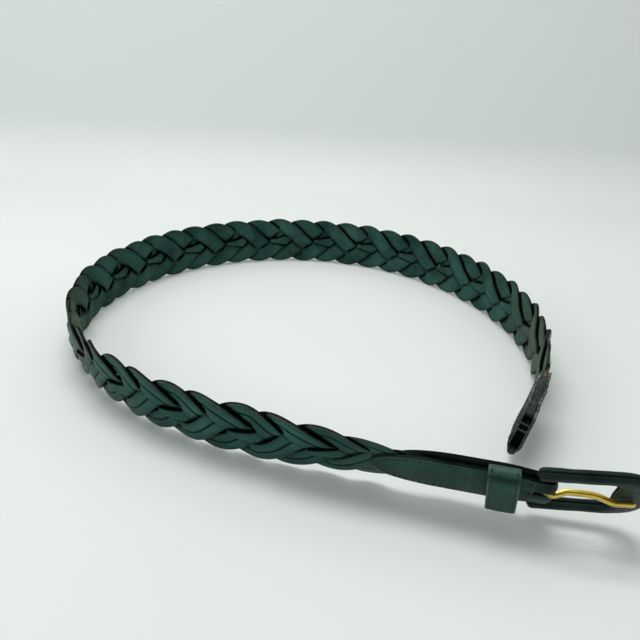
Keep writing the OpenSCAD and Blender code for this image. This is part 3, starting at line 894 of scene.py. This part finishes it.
# Painted shade in the dip, and a painted highlight along the roll
DIP_SHADE = 0.7
ROLL_HIGHLIGHT = 0.4


def round_path(points, radii, parts=8):
    """A closed line through corners that are rounded by the given radii."""
    out = []
    count = len(points)
    for i in range(count):
        a, b, c = (np.array(points[(i + k) % count], float) for k in (-1, 0, 1))
        u, v = unit(a - b), unit(c - b)
        half = math.acos(np.clip(u @ v, -1, 1)) / 2
        r = radii[i]
        mid = b + unit(u + v) * r / math.sin(half)
        p, q = b + u * r / math.tan(half) - mid, b + v * r / math.tan(half) - mid
        start = math.atan2(p[1], p[0])
        turn = (math.atan2(q[1], q[0]) - start + 3 * math.pi) % (2 * math.pi) - math.pi
        angles = start + turn * np.arange(parts + 1) / parts
        out += list(mid + r * np.stack([np.cos(angles), np.sin(angles)], -1))
    return np.array(out)


def keeper_path():
    """Middle line of the keeper's strip in y and z, as a closed line of even steps."""
    h = TAB_W / 2 + KEEPER_CLEAR + KEEPER_T / 2
    top = FOLD_OUT + KEEPER_OUT_TOP + KEEPER_T / 2
    low = FOLD_OUT + KEEPER_OUT_LOW + KEEPER_T / 2
    p = round_path([(0, -h), (0, h), (-top, h), (-low, -h)], KEEPER_BENDS)
    p = np.concatenate([p, p[:1]])
    run = run_along(p)
    t = np.linspace(0, run[-1], KEEPER_STEPS)
    p = np.stack([np.interp(t, run, p[:, 0]), np.interp(t, run, p[:, 1])], -1)
    # It starts at the middle of the back, where y is near 0
    start = int(np.argmin(np.abs(p[:, 1]) + 10 * (p[:, 0] < -1)))
    return np.concatenate([p[start:-1], p[:start + 1]])


def build_keeper():
    path = keeper_path()
    y, z = path[:, 0], path[:, 1]
    ahead = np.roll(path[:-1], -1, 0) - np.roll(path[:-1], 1, 0)
    ahead = np.concatenate([ahead, ahead[:1]])
    normal = np.stack([-ahead[:, 1], ahead[:, 0]], -1)
    normal /= np.linalg.norm(normal, axis=1)[:, None]
    if (normal[:, 0] * (y + 3)).sum() < 0:
        normal = -normal
    cols = np.concatenate([[-1, -0.95], np.linspace(-0.85, 0.85, 9), [0.95, 1]])
    forward = smooth((-y - 1.0) / 3.0)
    half_t = np.where(y > -1.0, KEEPER_BACK_HALF, KEEPER_T / 2)
    edge = np.interp(np.abs(cols), [0.85, 0.95, 1], [1, 0.95, 0.7])
    upper = smooth((z - TAB_W / 2 + 3) / 3)
    roll = upper * bell(y, ROLL_AT, ROLL_SPREAD)
    dip = upper * bell(y, DIP_AT, DIP_SPREAD)
    bow = FACE_BOW * forward * np.cos(np.pi / 2 * np.clip(z / BOW_HALF, -1, 1))
    puff = FACE_SWELL * forward[:, None] * (1 - cols ** 2) + (bow + ROLL_H * roll - DIP_H * dip)[:, None]
    sets = []
    for sign in (1, -1):
        yz = path[:, None] + normal[:, None] * (sign * half_t[:, None] * edge + puff)[..., None]
        x = -KEEPER_AT + cols * KEEPER_W / 2 - KEEPER_SLANT * yz[..., 1]
        sets.append(on_tab(np.stack([x, yz[..., 0], yz[..., 1]], -1)))
    rim = np.interp(np.abs(cols), [0.86, 0.97], [0, 0.8])
    # Wear along the rims of the front and the roll, and a painted highlight along the whole roll; painted
    # shade in the dip
    wear_and_highlight = np.maximum(rim * np.maximum(forward, roll)[:, None], ROLL_HIGHLIGHT * roll[:, None])
    verts, faces, kinds, (wear_and_highlight, shade) = sheet_mesh(*sets, None, [wear_and_highlight, DIP_SHADE * dip[:, None]])
    obj = make_object("keeper_loop_leather", verts, faces, [KEEPER, LINING, TAB_EDGE], kinds, shade, wear_and_highlight)
    bevel(obj, KEEPER_BEVEL)
    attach(obj, "keeper")
    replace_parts(obj, "keeper_loop")
    places = []
    run = run_along(path)
    for r in np.arange(0, run[-1], STITCH_PITCH):
        i = int(np.argmin(np.abs(run - r)))
        if y[i] > ROLL_AT or z[i] < KEEPER_STITCH_LOW:
            continue
        for s in (-1, 1):
            c = s * (1 - KEEPER_STITCH_IN / (KEEPER_W / 2))
            k = int(np.argmin(np.abs(cols - c)))
            yz = path[i] + normal[i] * (half_t[i] * edge[k] + puff[i, k])
            x = -KEEPER_AT + c * KEEPER_W / 2 - KEEPER_SLANT * yz[1]
            p = on_tab([x, *yz])
            t = unit(on_tab([x, *(yz + ahead[i])]) - p)
            o = unit(on_tab([x, *(yz + normal[i])]) - p)
            places.append((p, t, o))
    stitches("keeper_thread", "keeper_stitching", "keeper", places)


build_keeper()


# Buckle

COVER_POWER = 0.62
COVER_SPLIT = 0.02
COVER_CLOSE_L = 2.6
COVER_LUMP = 0.035
LUMP_STEPS = 26
LUMP_LANES = 5

# The seam between the two covers: a dip, a dark line, and a softer shade along the outer side
SEAM_DIP = 0.09
SEAM_DIP_SPREAD = 0.35
SEAM_SHADE = 0.9
SEAM_SHADE_SPREAD = 0.3
SIDE_SHADE = 0.55
SIDE_SHADE_SPREAD = 1.6


def frame_line(length, half, radius):
    """Outer or inner line of the covered frame, from the upper limb's back end to the lower one's."""
    f = np.linspace(0, 1, 30)
    a = np.radians(np.linspace(90, 0, 25)[1:])
    g = np.linspace(0, 1, 8)[1:]
    bend = length - radius
    x = [-LIMB_BACK + f * (bend + LIMB_BACK), bend + radius * np.cos(a), length + 0 * g]
    z = [half + 0 * f, half - radius + radius * np.sin(a), (half - radius) * (1 - g)]
    upper = np.stack([np.concatenate(x), np.concatenate(z)], -1)
    return np.concatenate([upper, upper[-2::-1] * np.array([1, -1])])


def build_covers():
    out = frame_line(BUCKLE_L, BUCKLE_H / 2, END_R)
    inn = frame_line(OPENING_L, OPENING_H / 2, INNER_R)
    run = run_along((out + inn) / 2)
    near_end = np.minimum(run, run[-1] - run)
    close = np.sqrt(np.clip(1 - (1 - np.clip(near_end / COVER_CLOSE_L, 0, 1)) ** 2, 0.02, 1))
    angles = np.linspace(0, np.pi, 31)
    c, s = np.cos(angles), np.sin(angles)
    flat, deep = np.sign(c) * np.abs(c) ** COVER_POWER, np.abs(s) ** COVER_POWER
    depth = deep * BUCKLE_T / 2
    seam = 1 - SEAM_DIP * bell(depth, 0, SEAM_DIP_SPREAD)
    # Painted shade in the dip of the seam and along the outer side
    shade = np.maximum(SEAM_SHADE * bell(depth, 0, SEAM_SHADE_SPREAD),
                       SIDE_SHADE * (c > 0) * bell(depth, 0, SIDE_SHADE_SPREAD))
    painted_shade = np.tile(shade, (len(out), 1))
    rng = np.random.default_rng(11)
    for label, node, slot, sign in (
            ("buckle_leather_front", "buckle_cover_front", "tab_leather", -1),
            ("buckle_leather_back", "buckle_cover_back", "lining_leather", 1)):
        lump = np.stack([even_noise(rng, run, LUMP_STEPS, COVER_LUMP) for _ in range(LUMP_LANES)], -1)
        lump = np.stack([np.interp(angles, np.linspace(0, np.pi, LUMP_LANES), row) for row in lump])
        rings = []
        for o, i, k, bulge in zip(out, inn, close, lump):
            xz = (o + i) / 2 + (o - i) / 2 * (flat * seam * k * (1 + bulge))[:, None]
            y = sign * (COVER_SPLIT + deep * (BUCKLE_T / 2 - COVER_SPLIT) * (1 + bulge)) * k
            rings.append(np.stack([xz[:, 0], y, xz[:, 1]], -1))
        rings = np.array(rings)
        if sign > 0:
            rings = rings[:, ::-1]
        obj = make_object(label, on_tab(rings, BUCKLE_SWING), loft(rings), [COVER],
                          painted_shade=painted_shade, wear_and_highlight=0 * painted_shade)
        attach(obj, "buckle")
        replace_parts(obj, node)


build_covers()


# Prong

EYE_MID = FOLD_R + 0.75
EYE_T = 1.42
PRONG_REST = BUCKLE_T / 2 + 0.4 + PRONG_T / 2
PRONG_LINE = [
    (0.4, EYE_MID), ROOT, (5.4, 1.8), (8, 0.9), (OPENING_L * 0.45, 0.8), (OPENING_L - 8, 1.5),
    (OPENING_L - 3.6, 3.1), (OPENING_L - 0.4, PRONG_REST), (OPENING_L + PRONG_OVER / 2, PRONG_REST),
    (OPENING_L + PRONG_OVER, PRONG_REST),
]
PRONG_GROOVE = 0.35
GROOVE_SPREAD = 0.3
PRONG_ROUND_L = 1.3
PRONG_SLIM = 0.18
PRONG_SLIM_L = 14.0


def spline(points, parts):
    """A smooth line through points."""
    p = np.array(points, float)
    out = []
    for i in range(len(p) - 1):
        a, b, c, d = p[max(0, i - 1)], p[i], p[i + 1], p[min(len(p) - 1, i + 2)]
        for k in range(parts + (1 if i == len(p) - 2 else 0)):
            f = k / parts
            square = (2 * a - 5 * b + 4 * c - d) * f * f
            cube = (3 * b - a - 3 * c + d) * f ** 3
            out.append(b + (c - a) * f / 2 + square / 2 + cube / 2)
    return np.array(out)


def section(width, thick, power, count):
    """Outline of a bar with rounded corners."""
    a = np.linspace(0, 2 * np.pi, count + 1)[:-1]
    c, s = np.cos(a), np.sin(a)
    x = np.sign(c) * np.abs(c) ** power * width / 2
    y = np.sign(s) * np.abs(s) ** power * thick / 2
    return np.stack([x, y], -1)


def build_prong():
    line = spline(PRONG_LINE, 8)
    line[:, 1] *= -1
    t = np.gradient(line, axis=0)
    t /= np.linalg.norm(t, axis=1)[:, None]
    n = np.stack([t[:, 1], -t[:, 0]], -1)
    run = run_along(line)
    sec = section(PRONG_W, PRONG_T, 0.4, 40)
    sec[:, 1] -= PRONG_GROOVE * (sec[:, 1] > 0) * bell(sec[:, 0], 0, GROOVE_SPREAD)
    rings = []
    for p, m, left in zip(line, n, run[-1] - run):
        k = math.sqrt(max(0.02, 1 - (1 - min(1, left / PRONG_ROUND_L)) ** 2))
        slim = (1 - PRONG_SLIM + PRONG_SLIM * min(1.0, left / PRONG_SLIM_L)) * k
        xy = p + m * (sec[:, 1] * k)[:, None]
        rings.append(np.stack([xy[:, 0], xy[:, 1], sec[:, 0] * slim], -1))
    rings = np.array(rings)
    faces = loft(rings)
    verts = rings.reshape(-1, 3)
    sec = section(PRONG_W, EYE_T, 0.5, 20)
    a = np.linspace(0, 2 * np.pi, 41)[:-1, None]
    r = EYE_MID + sec[:, 1]
    eye = np.stack([r * np.cos(a), r * np.sin(a), sec[:, 0] + 0 * a], -1)
    faces += [tuple(v + len(verts) for v in f) for f in loft(eye, closed=True)]
    verts = np.concatenate([verts, eye.reshape(-1, 3)])
    obj = make_object("brass_prong", on_tab(verts, BUCKLE_SWING), faces, [BRASS])
    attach(obj, "prong")
    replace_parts(obj, "prong")


build_prong()


# Tip

# The gap between the two layers, by the distance from the start of the tip
GAP_CLEAR = 0.05
LENS_L = 46.0
LENS_H = 1.0
MOUTH_FROM = 38.0
MOUTH_RISE = 8.0
MOUTH_H = 1.0
MEET_FROM = 36.0
MEET_RISE = 10.0
MEET_BELOW = 3.0
MEET_BELOW_RISE = 8.0
MEET_SHARE = 0.9
FIT = 0.04

# What shows in the gap: suede fillers, a pale cut end, two strand ends, a nub, and a dark web of painted
# shade
FILLER_IN = 0.7
FILLER_DEEP = 2.0
SUEDE_FROM = 6.5
SUEDE_TO = 49.0
SUEDE_SWELL = 0.5
TAN_FROM = 0.6
TAN_TO = 7.2
TAN_SWELL = 1.0
STRAND_ENDS = (2.4, 0.6)
STRAND_END_R = 0.7
STRAND_END_IN = 1.0
NUB_BACK = 2.4
NUB_W = -8.5
NUB_R = 2.3
NUB_TURN = 1.45
PLUG_IN = 4.2
PLUG_BACK = 3.0
PLUG_SHARE = 0.9
KIND_SUEDE = 3
KIND_SHADE_PLUG = 4
KIND_TAN = 5

# Uneven edges and wear of the layers
TIP_WAVE = 0.16
TIP_RAGGED = 0.34
TIP_WEAR = 0.25
TIP_WEAR_SPREAD = 0.4
CUT_WEAR_L = 7.0
CUT_WEAR_FADE = 4.0
TIP_BEVEL = 0.2


def tip_half(s):
    """Half width of the tip."""
    f = np.maximum(0, (s - STRAP_L + TIP_END_L) / TIP_END_L)
    return TIP_W / 2 * (0.25 + 0.75 * np.sqrt(np.maximum(0, 1 - f * f)))


def tip_gap(s, w):
    """Half of the gap between the tip layers: they part round the filler and at the end, and meet below."""
    along = s - TIP_FROM
    lens = np.sin(np.pi * np.clip(along / LENS_L, 0, 1))
    mouth = smooth((along - MOUTH_FROM) / MOUTH_RISE)
    meet = smooth((-w - MEET_BELOW) / MEET_BELOW_RISE) * smooth((along - MEET_FROM) / MEET_RISE)
    return (FOLD_R + GAP_CLEAR + LENS_H * lens + MOUTH_H * mouth) * (1 - MEET_SHARE * meet)


def filler(rng, from_s, to_s, side_w, swell):
    """A strip that closes the gap between the tip layers along one edge."""
    s = np.linspace(TIP_FROM + from_s, TIP_FROM + to_s, 40)
    f = np.linspace(-1, 1, 7)
    top = side_w * (tip_half(s) - FILLER_IN + even_noise(rng, s, 20, 0.22))
    low = side_w * (tip_half(s) - FILLER_DEEP)
    n = (tip_gap(s, top) - FIT)[:, None] * f
    a = strap(s[:, None], top[:, None] + swell * side_w * (1 - f ** 2), n)
    b = strap(s[:, None], low[:, None], n)
    return sheet_mesh(a, b)[:2]


def strand_end(s):
    """A cut end of a strand that shows between the tip layers."""
    w = tip_half(s) - STRAND_END_IN
    a = np.linspace(0, 2 * np.pi, 11)[:-1]
    f = np.linspace(-1, 1, 7)[:, None]
    swell = STRAND_END_R * (0.75 + 0.25 * f ** 2)
    rings = strap(s + swell * np.cos(a), w + swell * np.sin(a), (tip_gap(s, w) - FIT) * f)
    return rings.reshape(-1, 3), loft(rings)


def nub():
    """The small rounded end where the two tip layers meet."""
    a = np.linspace(0, 2 * np.pi, 17)[:-1]
    f = np.linspace(-NUB_TURN, NUB_TURN, 11)[:, None]
    r = NUB_R * np.cos(f)
    rings = strap(STRAP_L - NUB_BACK + r * np.cos(a), NUB_W + r * np.sin(a), NUB_R * np.sin(f))
    return rings.reshape(-1, 3), loft(rings)


def shade_plug():
    """A dark web of painted shade between the tip layers beyond the end of the braid."""
    s = np.linspace(BRAID_TO - 3, STRAP_L - PLUG_BACK, 14)
    w = np.maximum(0.3, tip_half(s) - PLUG_IN)[:, None] * np.linspace(-1, 1, 13)
    n = PLUG_SHARE * tip_gap(s[:, None], w)
    return sheet_mesh(strap(s[:, None], w, n), strap(s[:, None], w, -n))[:2]


def tip_insides(rng):
    """What shows between the tip layers: points and faces, with the kind of the faces."""
    out = [(filler(rng, SUEDE_FROM, SUEDE_TO, side_w, SUEDE_SWELL), KIND_SUEDE) for side_w in (-1, 1)]
    out += [(strand_end(STRAP_L - back), KIND_SUEDE) for back in STRAND_ENDS]
    out.append((nub(), KIND_SUEDE))
    out.append((shade_plug(), KIND_SHADE_PLUG))
    out.append((filler(rng, TAN_FROM, TAN_TO, 1, TAN_SWELL), KIND_TAN))
    return out


def build_tip():
    end = STRAP_L - TIP_END_L + TIP_END_L * np.sin(np.linspace(0.1, np.pi / 2, 14))
    s = np.concatenate([np.linspace(TIP_FROM, STRAP_L - TIP_END_L, 60), end])
    cols = np.linspace(-1, 1, 25)
    rng = np.random.default_rng(3)
    for label, node, slot, side in (
            ("tip_outer_layer", "tip_front", "tab_leather", 1),
            ("tip_inner_layer", "tip_back", "lining_leather", -1)):
        wave = even_noise(rng, s, 24, TIP_WAVE)[:, None] * np.abs(cols) ** 2
        half = tip_half(s) + even_noise(rng, s, 34, TIP_RAGGED)
        w = half[:, None] * cols
        n = side * (tip_gap(s[:, None], w) + LEATHER_T / 2) + wave
        a = strap(s[:, None], w, n + LEATHER_T / 2)
        b = strap(s[:, None], w, n - LEATHER_T / 2)
        cut = smooth((TIP_FROM + CUT_WEAR_L - s) / CUT_WEAR_FADE)[:, None] * side
        patchy = np.clip(TIP_WEAR + even_noise(rng, s, 22, TIP_WEAR_SPREAD), 0, 0.9)[:, None]
        wear_and_highlight = np.clip(cut + patchy * np.interp(np.abs(cols), [0.9, 1.0], [0, 1]), 0, 1)
        verts, faces, kinds, (wear_and_highlight,) = sheet_mesh(a, b, None, [wear_and_highlight])
        mats = [TIP_FACE, GAP_SHADE, TIP_EDGE]
        if side < 0:
            mats = [GAP_SHADE, TIP_FACE, TIP_EDGE, TIP, GAP_SHADE, TAN]
            for (points, more), kind in tip_insides(rng):
                faces = faces + [tuple(v + len(verts) for v in f) for f in more]
                kinds = kinds + [kind] * len(more)
                wear_and_highlight = np.concatenate([wear_and_highlight, np.zeros(len(points))])
                verts = np.concatenate([verts, points])
        obj = make_object(label, verts, faces, mats, kinds, 0 * wear_and_highlight, wear_and_highlight)
        bevel(obj, TIP_BEVEL)
        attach(obj, "strap")
        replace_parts(obj, node)
    places = []
    for at in np.arange(TIP_FROM + STITCH_IN + 1.1, STRAP_L - TIP_END_L, STITCH_PITCH):
        for edge in (STITCH_IN - TIP_W / 2, TIP_W / 2 - STITCH_IN):
            for face in (-1, 1):
                n = face * (tip_gap(at, edge) + LEATHER_T)
                p = strap(at, edge, n)
                places.append((p, unit(strap(at + 1, edge, n) - p), unit(strap(at, edge, n + face) - p)))
    stitches("tip_thread", "tip_stitching", "strap", places)


build_tip()

for obj in bpy.data.objects:
    if obj.type == "MESH" and obj.name.split(".")[0] in ("buckle_frame", "buckle_bar", "keeper_staple"):
        obj.data.materials.clear()
        obj.data.materials.append(STEEL)


# Stage, light and camera, in metres

FLOOR_FAR = 0.45
CURVE_R = 0.07
WALL_Y = FLOOR_FAR + CURVE_R
WALL_TOP = 1.0
STAGE_HALF = 3.0
STAGE_DROP = 0.0002
CAMERA_AT = (0.0107, -0.39236, 0.204)
CAMERA_PITCH = 24.9
CAMERA_ROLL = 3.1
CAMERA_LENS = 36.0
SENSOR_W = 36.0
WORLD_COLOUR = (0.90, 0.94, 0.92, 1.0)
WORLD_STRENGTH = 0.47


def build_stage():
    m, bsdf, coords = new_material("pale table")
    tone = noise(coords, 3.0, 2.0)
    colour = mix(ramp(tone, 0.3, 0.7), (0.80, 0.83, 0.81), (0.83, 0.855, 0.84))
    # The curve and the wall are painted darker than the floor: painted shade where less light reaches them
    height = add(coords, "SeparateXYZ", {0: coords}).outputs[2]
    put(bsdf, "Base Color", mix(ramp(height, 0.01, 0.08), colour, (0.76, 0.80, 0.775)))
    put(bsdf, "Roughness", 0.75)
    put(bsdf, "Specular IOR Level", 0.2)
    profile = [(-STAGE_HALF, 0.0), (-1.0, 0.0), (0.0, 0.0), (FLOOR_FAR, 0.0)]
    for a in np.linspace(0.1, math.pi / 2, 10):
        profile.append((FLOOR_FAR + CURVE_R * math.sin(a), CURVE_R - CURVE_R * math.cos(a)))
    profile += [(WALL_Y, 0.4), (WALL_Y, WALL_TOP)]
    xs = np.linspace(-STAGE_HALF, STAGE_HALF, 7)
    verts = [(x, y, z - STAGE_DROP) for y, z in profile for x in xs]
    faces = []
    for i in range(len(profile) - 1):
        for j in range(len(xs) - 1):
            a = i * len(xs) + j
            faces.append((a, a + 1, a + 1 + len(xs), a + len(xs)))
    make_object("table", verts, faces, [m])


build_stage()


def area(name, place, aim, size, power):
    """A lamp of the given size that faces the point it aims at."""
    light = bpy.data.lights.new(name, "AREA")
    light.shape = "RECTANGLE"
    light.size, light.size_y = size
    light.energy = power
    obj = new_object(name, light)
    obj.location = place
    z = unit(np.subtract(place, aim))
    x = unit(np.cross((0, 1, 0) if abs(z[2]) > 0.95 else (0, 0, 1), z))
    y = np.cross(z, x)
    obj.rotation_mode = "QUATERNION"
    obj.rotation_quaternion = Matrix([(x[i], y[i], z[i]) for i in range(3)]).to_quaternion()


area("ceiling panel", (-0.15, 0.06, 1.2), (0.05, -0.02, 0.0), (0.8, 0.5), 7.0)
area("window", (-1.4, -0.75, 0.95), (0.0, 0.0, 0.0), (1.6, 1.0), 6.6)

world = scene.world or bpy.data.worlds.new("world")
scene.world = world
world.use_nodes = True
back = world.node_tree.nodes.get("Background") or world.node_tree.nodes.new("ShaderNodeBackground")
back.inputs["Color"].default_value = WORLD_COLOUR
back.inputs["Strength"].default_value = WORLD_STRENGTH


def build_camera():
    pitch, roll = math.radians(CAMERA_PITCH), math.radians(CAMERA_ROLL)
    right = np.array([1.0, 0, 0])
    up = np.array([0, math.sin(pitch), math.cos(pitch)])
    forward = np.array([0, math.cos(pitch), -math.sin(pitch)])
    x = right * math.cos(roll) + up * math.sin(roll)
    y = up * math.cos(roll) - right * math.sin(roll)
    cam = bpy.data.cameras.new("camera")
    cam.sensor_fit = "HORIZONTAL"
    cam.sensor_width = SENSOR_W
    cam.lens = CAMERA_LENS
    cam.clip_start = 0.01
    obj = new_object("camera", cam)
    rows = [(x[i], y[i], -forward[i], CAMERA_AT[i]) for i in range(3)]
    obj.matrix_world = Matrix(rows + [(0, 0, 0, 1)])
    scene.camera = obj


build_camera()
scene.view_settings.view_transform = "Standard"
